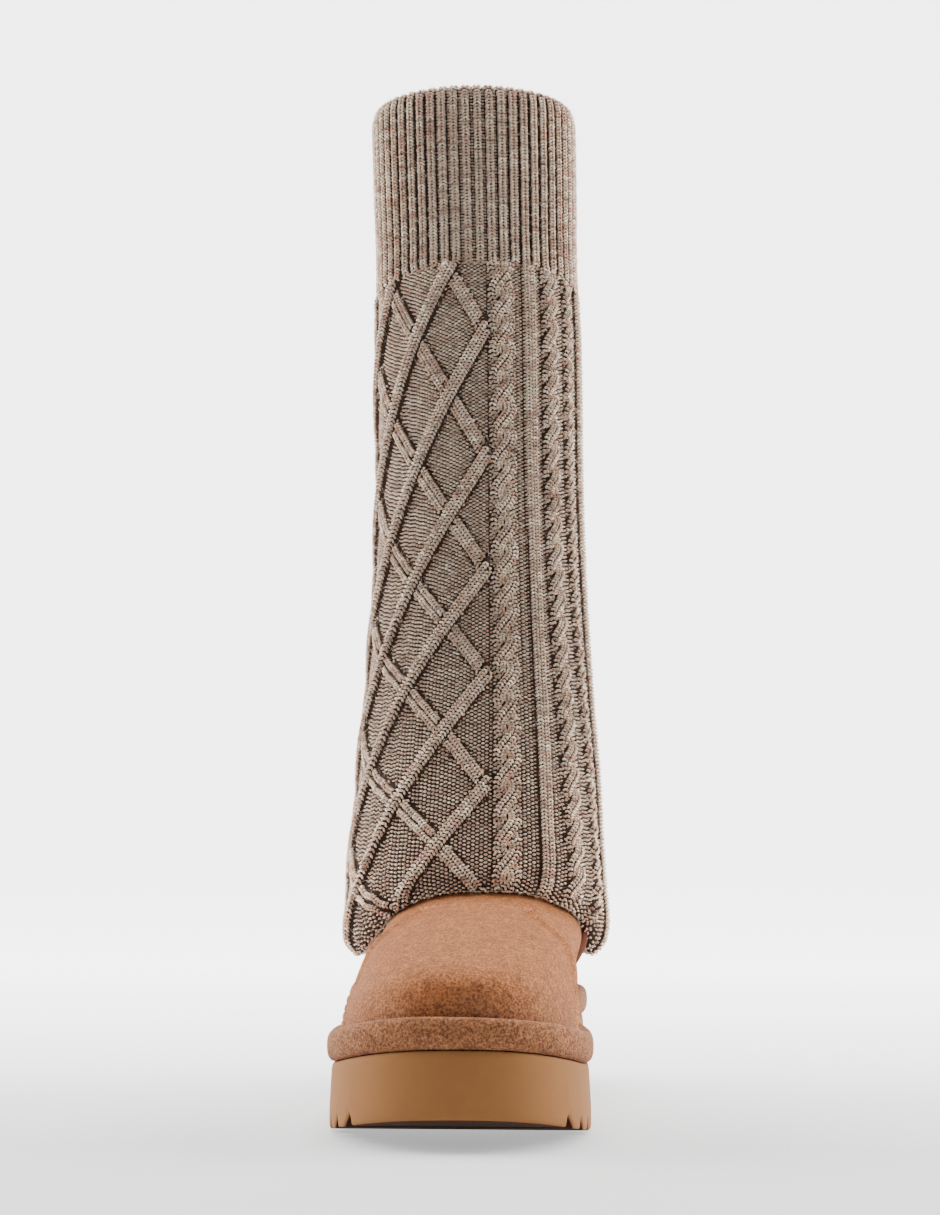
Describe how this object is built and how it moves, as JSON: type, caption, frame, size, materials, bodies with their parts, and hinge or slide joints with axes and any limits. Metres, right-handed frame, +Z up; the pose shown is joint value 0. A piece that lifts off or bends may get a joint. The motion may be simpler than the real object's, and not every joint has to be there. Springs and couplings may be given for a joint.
{
  "type": "tall knit boot",
  "caption": "Tall pull-on boot for the right foot: suede vamp on a notched platform sole with a padded band, under a long cable-knit shaft with a ribbed cuff.",
  "frame": {"origin": "middle of the heel's ground contact, on the floor", "axes": "+Z up, -Y towards the toe, +X towards the big-toe side"},
  "size_m": [0.1133, 0.2661, 0.4345],
  "materials": {
    "foam": "matte moulded foam rubber, tan",
    "band_suede": "suede, short nap, chestnut",
    "suede": "suede, short nap, chestnut",
    "counter_leather": "smooth leather, dark brown",
    "insole_pile": "short pile, cream",
    "knit": "marled wool knit, taupe"
  },
  "bodies": {
    "root": {"platform_sole": "foam", "padded_band": "band_suede", "suede_upper": "suede", "heel_counter": "counter_leather", "insole": "insole_pile", "knit_shaft": "knit"}
  },
  "joints": []
}
